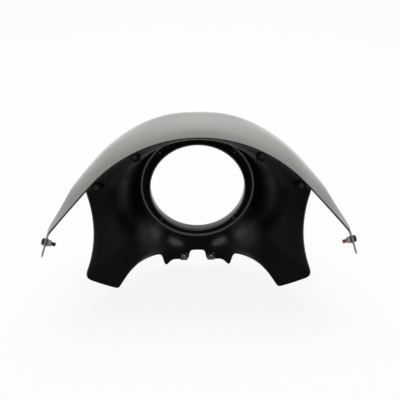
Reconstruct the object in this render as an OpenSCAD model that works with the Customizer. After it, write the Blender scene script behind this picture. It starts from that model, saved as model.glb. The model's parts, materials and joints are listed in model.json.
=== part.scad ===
// Headlight cowl: a moulded body round the lamp, a glossy brow over it and their fasteners.
// The lamp's axis is the Y axis and looks towards -Y. Z is up. The back of the seat is at y = 0.

/* [Lamp ring] */
// Radius of the clear opening for the lamp
lamp_r = 79; // [74:0.5:84]
// Wall of the sleeve round the lamp
sleeve_wall = 3; // [2:0.5:4]
// Length of the sleeve in front of the seat
sleeve_len = 4; // [1:0.5:12]
// Height of the collar behind the seat
collar_h = 12; // [8:0.5:16]
// Width of the flange outside the sleeve
flange_w = 15; // [13:0.5:18]
// Thickness of the flange
flange_t = 3; // [2:0.5:4]
// Height of the round bead on the edge of the flange
bead_h = 2; // [1:0.5:3]
// Width of the round bead on the edge of the flange
bead_w = 5.5; // [4:0.5:6]
// Gap between the sleeve and the hole in the body
sleeve_gap = 2; // [0.5:0.5:3]

/* [Body] */
// Wall of the moulded body
body_wall = 3; // [2:0.5:4]
// Height of the lamp ring's lower edge above the feet
chin_h = 59.5; // [57:0.5:68]
// Half width of the chin, out to the points of its two feet
chin_x = 57; // [52:0.5:60]
// Half width of the notch in the chin
notch_x = 10; // [6:0.5:12]
// Height of the notch above the feet
notch_h = 29.5; // [22:0.5:34]
// Height of the lips' lower edge above the feet
lip_h = 11; // [6:0.5:14]
// Distance of each fork arch from the middle
arch_x = 88; // [85:0.5:92]
// Radius of each fork arch
arch_r = 49; // [45:0.5:52]
// Height of each fork arch above the feet
arch_h = 32; // [28:0.5:36]
// Distance of each rear foot behind the seat
foot_y = 76; // [60:1:90]
// Half width over the lower corners of the wings
wing_x = 184; // [178:1:192]
// Height of the wings' lower corners above the feet
wing_h = 46; // [36:1:56]
// Distance of the wings' lower corners behind the seat
wing_y = 111; // [100:1:120]
// Depth of the hollow in the outer edge of each wing
waist = 13; // [4:1:20]
// Distance of the wings' upper corners outside the ends of the brow's roof
shoulder_out = 4; // [-3:1:5]
// Distance of the upper corners behind the seat
shoulder_y = 122; // [112:1:128]
// Distance of the middle of the upper edge behind the seat
crown_y = 78; // [68:1:88]
// Gap between the brow and the body's upper corners
shoulder_gap = 3; // [3:0.5:6]
// What the gap between the brow and the body's upper edge gains at the middle
crown_gap = 3; // [0:0.5:6]
// Height of the roll on each side of the chin, under the lamp ring
roll_h = 5; // [0:0.5:8]
// Width of the flared rim round the body
flare_w = 6; // [3:0.5:9]
// Height of the flared rim
flare_h = 3; // [1:0.5:4]

/* [Brow] */
// Wall of the brow
brow_wall = 3; // [2:0.5:4]
// Radius of the brow's roof, seen from the front
roof_r = 244; // [236:1:256]
// Angle at which the roof turns into the straight flanks
flank_a = 44.5; // [42:0.5:50]
// Height of the roof's outside above the lamp ring
roof_rise = 36; // [31:0.5:48]
// Length of each straight flank
flank_len = 88; // [78:1:98]
// Bend between the flank and the end of the arm
arm_bend = 28; // [10:1:40]
// Radius of that bend
arm_bend_r = 15; // [10:1:30]
// Length of each arm's end from the bend to the tip
arm_len = 28; // [24:1:36]
// Distance of the rear rim's middle behind the seat
rim_y = 100; // [85:1:115]
// Sweep of the rear rim back to the tips
rim_sweep = 80; // [70:1:100]
// Distance of the nose in front of the seat
nose_y = 60; // [45:1:75]
// Distance behind the seat at which the roof starts to fall to the nose
fall_y = 45; // [35:1:60]
// Angle from the top round the lamp at which the nose ends
nose_a = 120; // [100:1:135]
// Gap between the nose and the outside of the lamp ring
nose_gap = 3; // [0:0.5:10]

/* [Fasteners] */
// Thread radius of the screws of the lamp ring
ring_screw_r = 2; // [1.5:0.1:2.5]
// Thread radius of the screws between the body and the brow
brow_screw_r = 2.5; // [2:0.1:3]
// Angle of the inner brow screws from the top, round the roof's centre
inner_screw_a = 25.5; // [23:0.5:29]
// Angle between the outer brow screws and the ends of the roof
outer_screw_in = 1; // [0:0.5:3]
// Thread radius of the arm bolts
arm_bolt_r = 3; // [2.5:0.1:3.5]
// Free length of each arm bolt inside its nut
arm_bolt_free = 7; // [5:0.5:14]
// Distance between the two holes in the lips
lip_hole_gap = 47; // [40:1:54]
// Radius of the holes in the lips
lip_hole_r = 2.75; // [2:0.25:3.25]
// Clearance of each screw in its hole
screw_gap = 0.15; // [0.1:0.05:0.3]

/* [Hidden] */
$fn = 64;

sleeve_r = lamp_r + sleeve_wall;
ring_r = sleeve_r + flange_w;
hole_r = sleeve_r + sleeve_gap;
seat_rim = 3;
seat_r = ring_r + seat_rim;
collar_foot = 2;
collar_edge = 1;
collar_r = sleeve_r + collar_foot;
ring_screw_c = (collar_r + ring_r - bead_w) / 2;
through = 40;

// Vectors and lists
function unit(v) = v / norm(v);
function mix(a, b, t) = a + (b - a) * t;
function mirrored(p) = [-p[0], p[1], p[2]];

// A closed skin between two grids of points, each a list of rows that run alike.
// The front grid lies on the outer side of the back grid. A wrapped skin joins its last column to its first.
module skin(front, back, wrap) {
    rows = len(front);
    cols = len(front[0]);
    last = wrap ? cols - 1 : cols - 2;
    size = rows * cols;
    function at(j, i) = j * cols + i % cols;
    front_faces = [for (j = [0 : rows - 2], i = [0 : last])
        each [[at(j, i), at(j + 1, i + 1), at(j + 1, i)], [at(j, i), at(j, i + 1), at(j + 1, i + 1)]]];
    back_faces = [for (f = front_faces) [f[2] + size, f[1] + size, f[0] + size]];
    start_faces = [for (i = [0 : last])
        each [[at(0, i), size + at(0, i + 1), at(0, i + 1)], [at(0, i), size + at(0, i), size + at(0, i + 1)]]];
    end_faces = [for (i = [0 : last], a = [at(rows - 1, i)], b = [at(rows - 1, i + 1)])
        each [[b, size + a, a], [b, size + b, size + a]]];
    side_faces = wrap ? [] : [for (j = [0 : rows - 2], s = [0, 1],
            a = [at(j + s, s * (cols - 1))], b = [at(j + 1 - s, s * (cols - 1))])
        each [[b, size + a, a], [b, size + b, size + a]]];
    polyhedron(points = [each [for (r = front) each r], each [for (r = back) each r]],
        faces = [each front_faces, each back_faces, each start_faces, each end_faces, each side_faces],
        convexity = 8);
}

// Section of the brow, seen from the front: a round roof, straight flanks and bent arm ends.
// It gives x and z at a length s from the middle.
roof_z = ring_r + roof_rise - roof_r;
roof_len = roof_r * flank_a * PI / 180;
bend_len = arm_bend_r * arm_bend * PI / 180;
bend_s = roof_len + flank_len;
arm_s = bend_s + bend_len;
arm_a = flank_a + arm_bend;
arm_reach = arm_s + arm_len;
flank_start = [roof_r * sin(flank_a), roof_z + roof_r * cos(flank_a)];
bend_start = flank_start + flank_len * [cos(flank_a), -sin(flank_a)];
bend_centre = bend_start - arm_bend_r * [sin(flank_a), cos(flank_a)];
arm_start = bend_centre + arm_bend_r * [sin(arm_a), cos(arm_a)];
function section(s) =
    s < roof_len ? [roof_r * sin(s / roof_r * 180 / PI), roof_z + roof_r * cos(s / roof_r * 180 / PI)] :
    s < bend_s ? flank_start + (s - roof_len) * [cos(flank_a), -sin(flank_a)] :
    s < arm_s ? bend_centre + arm_bend_r * [sin(flank_a + (s - bend_s) / arm_bend_r * 180 / PI),
        cos(flank_a + (s - bend_s) / arm_bend_r * 180 / PI)] :
    arm_start + (s - arm_s) * [cos(arm_a), -sin(arm_a)];

// Surface of the brow. u runs from tip to tip, v from the rear rim to the nose.
nose_r = ring_r + nose_gap;
nose_share = 0.3;
nose_len = roof_len + nose_share * flank_len;
row_power = 1.7;
sweep_power = 2.2;
edge_power = 2.2;
fall_power = 2.2;
nose_power = 4;
function rim_back(u) = rim_y + rim_sweep * pow(abs(u), sweep_power);
function brow_point(u, v) = let (
        g = 1 - pow(1 - v, row_power),
        s = abs(u) * (nose_len + (arm_reach - nose_len) * pow(1 - g, edge_power)),
        y = mix(rim_back(u), -nose_y, g),
        t = max(0, (fall_y - y) / (fall_y + nose_y)),
        w = 1 - pow(max(0, 1 - pow(t, fall_power)), 1 / fall_power),
        q = s / nose_len,
        a = 90 * q + (nose_a - 90) * pow(q, nose_power),
        p = mix(section(s), nose_r * [sin(a), cos(a)], w))
    [sign(u) * p[0], y, p[1]];
function brow_normal(u, v, e = 0.002) =
    unit(cross(brow_point(u, min(1, v + e)) - brow_point(u, max(0, v - e)),
        brow_point(min(1, u + e), v) - brow_point(max(-1, u - e), v)));
brow_cols = 60;
brow_rows = 20;
brow_outside = [for (j = [0 : brow_rows]) [for (i = [0 : brow_cols])
    brow_point(2 * i / brow_cols - 1, j / brow_rows)]];
brow_inside = [for (j = [0 : brow_rows]) [for (i = [0 : brow_cols])
    brow_outside[j][i] - brow_wall * brow_normal(2 * i / brow_cols - 1, j / brow_rows)]];

// Half width over the body's upper corners
shoulder_x = flank_start[0] + shoulder_out;

// Height of the brow's inside over a place behind the fall of its roof
function under_brow(x) = roof_z + sqrt(pow(roof_r - brow_wall, 2) - x * x);

// Lugs inside the brow and the body's pads that they meet, side by side along the screws
lug_r = 8;
lug_len = 14;
lug_drop = 7;
lug_floor = 2;
pad_r = 6.5;
pad_front = 13;
pad_back = 5;
pad_neck = 12;
lug_ring = roof_r - brow_wall - lug_drop;
function edge_y(x) = mix(crown_y, shoulder_y, pow(x / shoulder_x, 2));
module brow_screw_places() {
    for (side = [-1, 1], a = [inner_screw_a, flank_a - outer_screw_in], x = [lug_ring * sin(a)])
        translate([side * x, edge_y(x) - pad_front, roof_z + lug_ring * cos(a)])
            rotate([0, side * a, 0]) children();
}

// Seats of the arm bolts, with the bolt's axis along Z and the outside of the arm at z = 0
seat_rise = 1;
seat_edge = 0.5;
bend_gap = 3.5;
washer_r = 2 * arm_bolt_r;
washer_t = 1.2;
bolt_s = arm_s + washer_r + bend_gap;
bolt_rim_y = rim_back(bolt_s / arm_reach);
bolt_front_y = mix(-nose_y, rim_y + rim_sweep, pow((bolt_s - nose_len) / (arm_reach - nose_len), 1 / edge_power));
module arm_bolt_places() {
    for (side = [0, 1]) mirror([side, 0, 0])
        translate([section(bolt_s)[0], (bolt_rim_y + bolt_front_y) / 2, section(bolt_s)[1]])
            rotate([0, arm_a, 0]) children();
}

module brow() {
    color("dimgray") difference() {
        union() {
            skin(brow_outside, brow_inside, false);
            brow_screw_places() rotate([90, 0, 0]) cylinder(r = lug_r, h = lug_len);
            arm_bolt_places() translate([0, 0, -brow_wall - seat_rise])
                cylinder(r = washer_r + seat_edge, h = brow_wall + 2 * seat_rise);
        }
        brow_screw_places() rotate([90, 0, 0]) translate([0, 0, -lug_floor])
            cylinder(r = brow_screw_r + screw_gap, h = lug_len);
        arm_bolt_places() cylinder(r = arm_bolt_r + screw_gap, h = through, center = true);
    }
}

clip_w = 12;
clip_side = 1;

// Outline of the body's right half from the middle of the notch up to the crown, as [x, y, z]
foot_z = -ring_r - chin_h;
arch_centre = [arch_x, foot_z + arch_h - arch_r];
foot_x = arch_x + sqrt(pow(arch_r, 2) - pow(arch_r - arch_h, 2));
arch_out_a = atan2(foot_z - arch_centre[1], foot_x - arch_centre[0]);
toe_edge = 5;
arch_in_a = 180 - acos((arch_x - chin_x - toe_edge) / arch_r);
function arch_y(x) = foot_y * (x - chin_x) / (foot_x - chin_x);
function crown_z(x) = under_brow(x) - shoulder_gap - crown_gap * (1 - pow(x / shoulder_x, 4));
wing_z = foot_z + wing_h;
notch_z = foot_z + notch_h;
lip_z = foot_z + lip_h;
lip_end = lip_hole_gap / 2 + clip_w / 2 + clip_side;
notch_round = 3;
lip_round = 4;
toe_w = 17;
toe_flat = 4;
toe_power = 1.7;
toe_rise = 8;
toe_steps = 4;
lip_x = notch_x + notch_round + lip_round;
chin_points = [[0, 0, notch_z], [notch_x, 0, notch_z], [notch_x + notch_round, 0, notch_z - notch_round],
    [lip_x - lip_round / 2, 0, lip_z + lip_round / 2 + 1], [lip_x, 0, lip_z], [lip_end, 0, lip_z],
    for (k = [0 : toe_steps], t = [k / toe_steps])
        [mix(chin_x - toe_w, chin_x - toe_flat, t), 0, mix(lip_z, foot_z, pow(t, toe_power))],
    [chin_x, 0, foot_z], [chin_x + toe_edge / 2, 0, foot_z + toe_rise]];
arch_steps = 10;
arch_points = [for (k = [0 : arch_steps], a = [mix(arch_in_a, arch_out_a, k / arch_steps)],
        x = [arch_centre[0] + arch_r * cos(a)])
    [x, arch_y(x), arch_centre[1] + arch_r * sin(a)]];
corner_x = 3;
corner_y = 1;
corner_z = 5;
wing_steps = 6;
wing_foot = [foot_x, foot_y, foot_z];
wing_corner = [wing_x - corner_x, wing_y - corner_y, wing_z - corner_z];
wing_points = [for (k = [1 : wing_steps]) mix(wing_foot, wing_corner, k / wing_steps)];
shoulder = [shoulder_x, shoulder_y, crown_z(shoulder_x)];
edge_steps = 12;
edge_points = [for (k = [0 : edge_steps - 1], t = [k / edge_steps])
    mix([wing_x, wing_y, wing_z + corner_x], shoulder, t) - [4 * waist * t * (1 - t), 0, 0]];
crown_steps = 18;
crown_points = [for (k = [0 : crown_steps], x = [shoulder_x * cos(90 * k / crown_steps)])
    [x, edge_y(x), crown_z(x)]];
half_outline = [each chin_points, each arch_points, each wing_points, each edge_points, each crown_points];
half_count = len(half_outline);
arch_first = len(chin_points);
arch_last = arch_first + len(arch_points) - 1;
function polar(p) = atan2(p[2], p[0]);
half_angles = [for (i = [0 : half_count - 1])
    i < arch_first || i > arch_last ? polar(half_outline[i]) :
    mix(polar(half_outline[arch_first]), polar(half_outline[arch_last]),
        (i - arch_first) / (arch_last - arch_first))];
outline = [each half_outline, each [for (i = [half_count - 2 : -1 : 1]) mirrored(half_outline[i])]];
angles = [each half_angles, each [for (i = [half_count - 2 : -1 : 1]) 180 - half_angles[i]]];

// Surface of the body: flat round the lamp, then steep, then spreading to the outline. Away from
// its edge it follows a softened outline, in which each point is the mean of its neighbours.
body_steps = 8;
soft_span = 5;
soft_power = 2;
step_power = 1.3;
steep_share = 0.62;
steep_power = 2.6;
flare_y = 30;
count = len(outline);
soft = [for (i = [0 : count - 1])
    [for (k = [-soft_span : soft_span]) 1] * [for (k = [-soft_span : soft_span])
        outline[(i + k + count) % count]] / (2 * soft_span + 1)];
function rise(t) = steep_share * (1 - pow(1 - t, steep_power)) + (1 - steep_share) * t;
roll_x = 28;
roll_w = 12;
function roll(x, z) = z > -seat_r || z < notch_z ? 0 :
    roll_h * sin(180 * (z + seat_r) / (notch_z + seat_r)) * exp(-pow((abs(x) - roll_x) / roll_w, 2));
function body_point(i, j) = let (
        q = seat_r * [cos(angles[i]), 0, sin(angles[i])],
        edge = 1 - flare_w / norm([outline[i][0] - q[0], outline[i][2] - q[2]]),
        t = j > body_steps + 1 ? 1 : edge * pow((j - 1) / body_steps, step_power),
        p = mix(soft[i], outline[i], pow(t, soft_power)),
        flared = j > body_steps + 1 ? flare_h * min(1, p[1] / flare_y) : 0,
        x = mix(q[0], p[0], t),
        z = mix(q[2], p[2], t))
    j == 0 ? hole_r * [cos(angles[i]), 0, sin(angles[i])] : [x, p[1] * rise(t) + flared + roll(x, z), z];
body_rows = body_steps + 2;
body_back = [for (j = [0 : body_rows]) [for (i = [0 : count - 1]) body_point(i, j)]];
function body_normal(i, j) = unit(cross(
    body_back[j][(i + 1) % count] - body_back[j][(i + count - 1) % count],
    body_back[min(body_rows, j + 1)][i] - body_back[max(0, j - 1)][i]));
body_front = [for (j = [0 : body_rows]) [for (i = [0 : count - 1])
    body_back[j][i] - body_wall * (j < 2 ? [0, 1, 0] : body_normal(i, j))]];

module ring_screw_places() {
    for (a = [45 : 90 : 315]) rotate([0, a, 0]) translate([ring_screw_c, 0, 0]) children();
}

lip_hole_h = 7;
lip_hole_z = lip_z + lip_hole_h;
module lip_places() {
    for (side = [-1, 1]) translate([side * lip_hole_gap / 2, 0, lip_hole_z]) children();
}

module body() {
    color("black") difference() {
        union() {
            skin(body_front, body_back, true);
            brow_screw_places() {
                rotate([-90, 0, 0]) cylinder(r = pad_r, h = pad_front + pad_back);
                translate([-pad_r, 0, -pad_neck]) cube([2 * pad_r, pad_front + pad_back, pad_neck]);
            }
        }
        ring_screw_places() rotate([90, 0, 0])
            cylinder(r = ring_screw_r + screw_gap, h = through, center = true);
        brow_screw_places() rotate([90, 0, 0])
            cylinder(r = brow_screw_r + screw_gap, h = through, center = true);
        lip_places() rotate([90, 0, 0]) cylinder(r = lip_hole_r, h = through, center = true);
    }
}

module lamp_ring() {
    color("darkslategray") difference() {
        rotate([-90, 0, 0]) rotate_extrude($fn = 128) polygon([[lamp_r, -sleeve_len], [sleeve_r, -sleeve_len],
            [sleeve_r, 0], [ring_r, 0],
            for (a = [0 : 15 : 180]) [ring_r + bead_w * (cos(a) - 1) / 2, flange_t + bead_h * sin(a)],
            [collar_r, flange_t], [sleeve_r, collar_h - collar_edge], [sleeve_r - collar_edge, collar_h],
            [lamp_r, collar_h]]);
        ring_screw_places() rotate([90, 0, 0])
            cylinder(r = ring_screw_r + screw_gap, h = through, center = true);
    }
}

// A screw or bolt along Z: its domed head stands on z = 0 and its thread hangs below
head_r = 1.6;
head_h = 1.1;
bolt_head_r = 1.85;
bolt_head_h = 1.4;
dome_foot = 0.35;
dome_flat = 0.3;
thread_edge = 0.4;
module screw(r, length, wide, high) {
    rotate_extrude() polygon([[0, -length], [r - thread_edge, -length], [r, -length + thread_edge], [r, 0],
        [wide, 0], [wide, high * dome_foot],
        for (a = [15 : 15 : 75]) [wide * mix(dome_flat, 1, cos(a)), high * mix(dome_foot, 1, sin(a))],
        [wide * dome_flat, high], [0, high]]);
}

ring_screw_end = 3;
module ring_screws() {
    color("dimgray") ring_screw_places() rotate([-90, 0, 0]) translate([0, 0, flange_t])
        screw(ring_screw_r, flange_t + body_wall + ring_screw_end, head_r * ring_screw_r,
            head_h * ring_screw_r);
}

thread_in_lug = 9;
module brow_screws() {
    color("silver") brow_screw_places() rotate([-90, 0, 0]) translate([0, 0, pad_front + pad_back])
        screw(brow_screw_r, pad_front + pad_back + thread_in_lug, head_r * brow_screw_r,
            head_h * brow_screw_r);
}

nut_h = 1.7 * arm_bolt_r;
nut_r = 1.92 * arm_bolt_r;
nut_top = -brow_wall - seat_rise - washer_t;
module arm_bolts() {
    color("black") arm_bolt_places() translate([0, 0, seat_rise])
        screw(arm_bolt_r, seat_rise - nut_top + nut_h + arm_bolt_free, bolt_head_r * arm_bolt_r,
            bolt_head_h * arm_bolt_r);
}

module arm_washers() {
    color("silver") arm_bolt_places() translate([0, 0, nut_top]) difference() {
        cylinder(r = washer_r, h = washer_t);
        cylinder(r = arm_bolt_r + screw_gap, h = through, center = true);
    }
}

module arm_nuts() {
    color("silver") arm_bolt_places() translate([0, 0, nut_top - nut_h]) difference() {
        cylinder(r = nut_r, h = nut_h, $fn = 6);
        cylinder(r = arm_bolt_r + screw_gap, h = through, center = true);
    }
}

// Spring clips pushed over the lips, each with a nut barrel behind the lip
clip_t = 1;
clip_h = 14;
barrel_wall = 1.8;
barrel_len = 3;
clip_foot = lip_z - lip_hole_z - clip_t;
module lip_clips() {
    color("silver") lip_places() difference() {
        union() {
            translate([-clip_w / 2, -body_wall - clip_t, clip_foot])
                cube([clip_w, body_wall + 2 * clip_t, clip_t]);
            for (y = [-body_wall - clip_t, 0]) translate([-clip_w / 2, y, clip_foot])
                cube([clip_w, clip_t, clip_h]);
            rotate([-90, 0, 0]) cylinder(r = lip_hole_r + barrel_wall, h = clip_t + barrel_len);
        }
        rotate([90, 0, 0]) cylinder(r = lip_hole_r, h = through, center = true);
    }
}

body();
brow();
lamp_ring();
ring_screws();
brow_screws();
arm_bolts();
arm_washers();
arm_nuts();
lip_clips();
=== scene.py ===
"""Headlight cowl: satin black body, glossy brow with bolted arms, lamp ring and their fasteners."""

import json
import math

import bmesh
import bpy
from bpy.props import FloatProperty, FloatVectorProperty, IntProperty, PointerProperty
from bpy.types import Operator, Panel, PropertyGroup
from mathutils import Matrix, Vector


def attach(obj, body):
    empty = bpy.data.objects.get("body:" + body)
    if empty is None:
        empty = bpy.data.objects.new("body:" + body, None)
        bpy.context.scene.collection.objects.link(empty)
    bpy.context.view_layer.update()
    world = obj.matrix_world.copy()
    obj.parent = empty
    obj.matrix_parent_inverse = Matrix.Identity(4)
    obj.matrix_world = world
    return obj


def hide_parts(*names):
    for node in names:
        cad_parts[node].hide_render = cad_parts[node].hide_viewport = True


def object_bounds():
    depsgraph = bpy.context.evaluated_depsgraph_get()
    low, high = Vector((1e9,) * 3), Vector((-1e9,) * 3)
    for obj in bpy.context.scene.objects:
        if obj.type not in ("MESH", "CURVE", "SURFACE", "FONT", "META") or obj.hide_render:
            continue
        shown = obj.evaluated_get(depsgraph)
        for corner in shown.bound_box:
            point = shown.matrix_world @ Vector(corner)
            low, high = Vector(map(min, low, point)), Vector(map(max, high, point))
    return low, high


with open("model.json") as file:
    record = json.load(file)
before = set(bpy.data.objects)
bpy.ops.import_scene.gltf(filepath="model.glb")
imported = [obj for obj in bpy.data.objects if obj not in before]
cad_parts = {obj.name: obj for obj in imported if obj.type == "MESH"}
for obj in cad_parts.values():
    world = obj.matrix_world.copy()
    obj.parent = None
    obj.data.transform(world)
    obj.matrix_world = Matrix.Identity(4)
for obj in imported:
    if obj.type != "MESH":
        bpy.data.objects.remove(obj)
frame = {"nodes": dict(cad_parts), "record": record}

bl_info = {
    "name": "Headlight Cowl",
    "version": (1, 0, 0),
    "blender": (4, 5, 0),
    "location": "3D View > Sidebar > Cowl",
    "description": "Shapes and finishes a headlight cowl with its lamp ring and fasteners",
    "category": "Add Mesh",
}

CAD_BOX = [list(corner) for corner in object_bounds()]
MOUNTS = {m["name"]: m for m in frame["record"]["mounts"]}
LAMP_R = MOUNTS["lamp_bore"]["dims"]["r_mm"]
LIP_HOLE_R = MOUNTS["lip_holes"]["dims"]["hole_r_mm"]
MM = 0.001
HAIR = 0.01 * MM

# Lamp ring. All sizes are in millimetres up to the finishes, which are in metres.
SLEEVE_WALL, SLEEVE_LEN, SLEEVE_GAP, SEAT_RIM = 3.0, 4.0, 2.0, 3.0
FLANGE_W, FLANGE_T, BEAD_W, BEAD_H = 15.0, 3.0, 5.5, 2.0
COLLAR_H, COLLAR_FOOT, COLLAR_EDGE = 12.0, 2.0, 1.0
SLEEVE_R = LAMP_R + SLEEVE_WALL
RING_R = SLEEVE_R + FLANGE_W
SEAT_R = RING_R + SEAT_RIM
HOLE_R = SLEEVE_R + SLEEVE_GAP
COLLAR_R = SLEEVE_R + COLLAR_FOOT
RING_ROUND, RING_STEPS, BEAD_STEPS = 0.6, 160, 16

# Brow: a round roof, straight flanks and bent arm ends at the rear rim, and a nose round the lamp ring
BROW_WALL, BROW_ROUND = 3.0, 1.1
ROOF_R, ROOF_RISE, FLANK_A, FLANK_LEN = 244.0, 36.0, math.radians(44.5), 88.0
ARM_BEND, ARM_BEND_R, ARM_LEN = math.radians(28.0), 15.0, 28.0
RIM_Y, RIM_SWEEP, NOSE_Y, NOSE_A, NOSE_GAP, NOSE_SHARE = 100.0, 80.0, 60.0, 120.0, 3.0, 0.3
ROOF_Z = RING_R + ROOF_RISE - ROOF_R
ROOF_LEN = ROOF_R * FLANK_A
BEND_S = ROOF_LEN + FLANK_LEN
ARM_S = BEND_S + ARM_BEND_R * ARM_BEND
ARM_A = FLANK_A + ARM_BEND
ARM_REACH = ARM_S + ARM_LEN
NOSE_R = RING_R + NOSE_GAP
NOSE_LEN = ROOF_LEN + NOSE_SHARE * FLANK_LEN
EDGE_POWER, SWEEP_POWER, ROW_POWER, NOSE_POWER = 2.2, 2.2, 1.7, 4

# The fall of the brow to its nose: earlier and rounder over the crest, and earlier again out on the flanks
FALL_Y, FALL_POWER, CREST_FALL_Y, CREST_POWER, CREST_SHARE = 45.0, 2.2, 74.0, 1.9, 0.25
FLANK_FALL, FLANK_POWER = 32.0, 6
CROWNING, CROWNED_SHARE = 1.5, 0.55

# Half widths beyond which the paint wraps to the inside of the arms, and over the edge at their tips
PAINTED_X, TIP_X = 212.0, 234.0

# Body
BODY_WALL, BODY_ROUND = 3.0, 0.9
CHIN_H, CHIN_X, NOTCH_X, NOTCH_H, NOTCH_ROUND = 59.5, 57.0, 10.0, 29.5, 3.0
LIP_H, LIP_ROUND, LIP_HOLE_H, LIP_HOLE_X, CLIP_W, CLIP_SIDE = 11.0, 4.0, 7.0, 23.5, 12.0, 1.0
DRILL_LEN = 30.0
TOE_W, TOE_FLAT, TOE_EDGE, TOE_RISE, TOE_POWER, TOE_STEPS = 17.0, 4.0, 5.0, 8.0, 1.7, 4
ARCH_X, ARCH_R, ARCH_H, FOOT_Y, ARCH_STEPS = 88.0, 49.0, 32.0, 76.0, 10
WING_X, WING_Y, WING_H, WAIST, WING_STEPS, EDGE_STEPS = 184.0, 111.0, 46.0, 13.0, 6, 12
CORNER_SIDE, CORNER_FRONT, CORNER_DROP = 3.0, 1.0, 5.0
SHOULDER_OUT, SHOULDER_Y, SHOULDER_GAP = 4.0, 122.0, 3.0
CROWN_Y, CROWN_GAP, CROWN_POWER, CROWN_STEPS = 78.0, 3.0, 4, 18
FOOT_Z = -RING_R - CHIN_H
NOTCH_Z = FOOT_Z + NOTCH_H
LIP_Z = FOOT_Z + LIP_H
LIP_HOLE_Z = LIP_Z + LIP_HOLE_H
WING_Z = FOOT_Z + WING_H
SHOULDER_X = ROOF_R * math.sin(FLANK_A) + SHOULDER_OUT
BODY_STEPS, STEP_POWER, SOFT_SPAN, SOFT_POWER = 12, 1.3, 5, 2
STEEP_SHARE, STEEP_POWER = 0.62, 2.6
FLARE_W, FLARE_H, FLARE_Y, SQUARE_SPAN, LEAST_SQUARE = 6.0, 3.0, 30, 2, 0.4
ROLL_H, ROLL_X, ROLL_W = 5.0, 28.0, 12.0

# Lugs inside the brow and pads on the body that meet along the brow's screws
SCREW_ANGLES = math.radians(25.5), FLANK_A - math.radians(1)
LUG_R, LUG_LEN, LUG_DROP, LUG_GAP, LUG_ROUND = 8.0, 14.0, 7.0, 0.1, 0.8
LUG_RING = ROOF_R - BROW_WALL - LUG_DROP
PAD_R, PAD_FRONT, PAD_BACK, PAD_NECK = 6.5, 13.0, 5.0, 12.0
PAD_LEN = PAD_FRONT + PAD_BACK
WEB_W, WEB_LEN = 13.0, 16.0

# Fasteners. The heads of the screws and bolts, and the nuts, are shares of the thread's radius.
RING_SCREW_R, RING_SCREW_END, BROW_SCREW_R, BROW_SCREW_END = 2.0, 3.0, 2.5, 9.0
SCREW_HEAD_R, SCREW_HEAD_H, BOLT_HEAD_R, BOLT_HEAD_H = 1.6, 1.1, 1.85, 1.4
ARM_BOLT_R, BOLT_FREE, BEND_GAP, SCREW_GAP, THREAD_ROUND = 3.0, 6.9, 3.5, 0.15, 0.4
WASHER_R, WASHER_T, WASHER_ROUND, NUT_R, NUT_H, NUT_ROUND = 6.0, 1.2, 0.25, 1.92, 5.1, 0.3
SEAT_RISE, SEAT_EDGE, SEAT_SINK, SEAT_ROUND, INNER_SEAT_ROUND = 1.0, 0.5, 0.5, 0.5, 0.4
BOLT_S = ARM_S + WASHER_R + BEND_GAP
BOLT_LEN = 2 * SEAT_RISE + BROW_WALL + WASHER_T + NUT_H + BOLT_FREE

# A domed head, as shares of its radius and height: the height of its foot, its rings and its socket
DOME_FOOT = 0.38
DOME_RINGS = (0.94, 0.62), (0.82, 0.80), (0.64, 0.93), (0.50, 1.0)
SOCKET_R, SOCKET_DEEP = 0.40, 0.55

# Finishes, in metres. Painted highlights on the body, beside the lamp ring and on the chin: the place, its
# reach and its strength
PAINTED_HIGHLIGHT_SPOTS = (((0.071, 0.014, -0.083), 0.012, 0.80), ((0.084, 0.026, -0.080), 0.023, 0.70),
              ((0.046, 0.003, -0.104), 0.006, 0.90), ((0.038, 0.004, -0.109), 0.006, 1.60),
              ((0.030, 0.005, -0.112), 0.005, 0.80))
# Lean of the brow's skin, each as a span and what it becomes: over the roof and the flanks by the way
# in from the rim, their share by x squared, and the fades at the nose by y and at the tips by x squared
RIM_CURVE = 0.9
ROOF_LEAN, FLANK_LEAN = (0.005, 0.040, 0.03, -0.15), (0.010, 0.085, 0.18, -0.08)
FLANK_PART = 0.002, 0.022, 0.0, 1.0
NOSE_FADE, TIP_FADE = (-0.020, 0.035, 0.0, 1.0), (0.040, 0.050, 1.0, 0.0)

# Stage, in metres, degrees and watts
FLOOR_HALF, FLOOR_GLOW = 40.0, 0.88
SOFTBOXES = (("top_softbox", (0.0, -0.7, 2.1), (1.8, 1.4), 44.0),
             ("low_softbox", (0.0, 2.3, 0.25), (1.4, 0.5), 14.0))
LIT_PLACE = 0, 0.05, 0
CAMERA_LENS, CAMERA_SENSOR, CAMERA_PLACE = 95.9, 36.0, (0.02926, 1.60664, 0.81148)
CAMERA_AZIMUTH, CAMERA_ELEVATION = math.radians(178.8), math.radians(27.6)


def length_property(name, description, value):
    return FloatProperty(name=name, description=description, default=value * MM, min=0.0, subtype="DISTANCE",
                         unit="LENGTH", precision=5)


def count_property(name, description, value, low, high):
    return IntProperty(name=name, description=description, default=value, min=low, max=high)


def colour_property(name, description, value):
    return FloatVectorProperty(name=name, description=description, default=value, min=0.0, max=1.0,
                               size=3, subtype="COLOR")


class CowlSizes(PropertyGroup):
    lamp_radius: length_property("Lamp radius", "Radius of the clear opening for the lamp", LAMP_R)
    body_wall: length_property("Body wall", "Thickness of the moulded body", BODY_WALL)
    body_round: length_property("Body edge", "Rounding of the body's edges", BODY_ROUND)
    brow_wall: length_property("Brow wall", "Thickness of the brow", BROW_WALL)
    brow_round: length_property("Brow edge", "Rounding of the brow's rim", BROW_ROUND)
    bolt_radius: length_property("Bolt radius", "Thread radius of the arm bolts", ARM_BOLT_R)
    lip_hole_radius: length_property("Lip hole radius", "Radius of the holes in the lips", LIP_HOLE_R)
    brow_columns: count_property("Brow columns", "Faces from tip to tip of the brow", 168, 24, 300)
    brow_rows: count_property("Brow rows", "Faces from the rim to the nose of the brow", 56, 8, 120)


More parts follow.
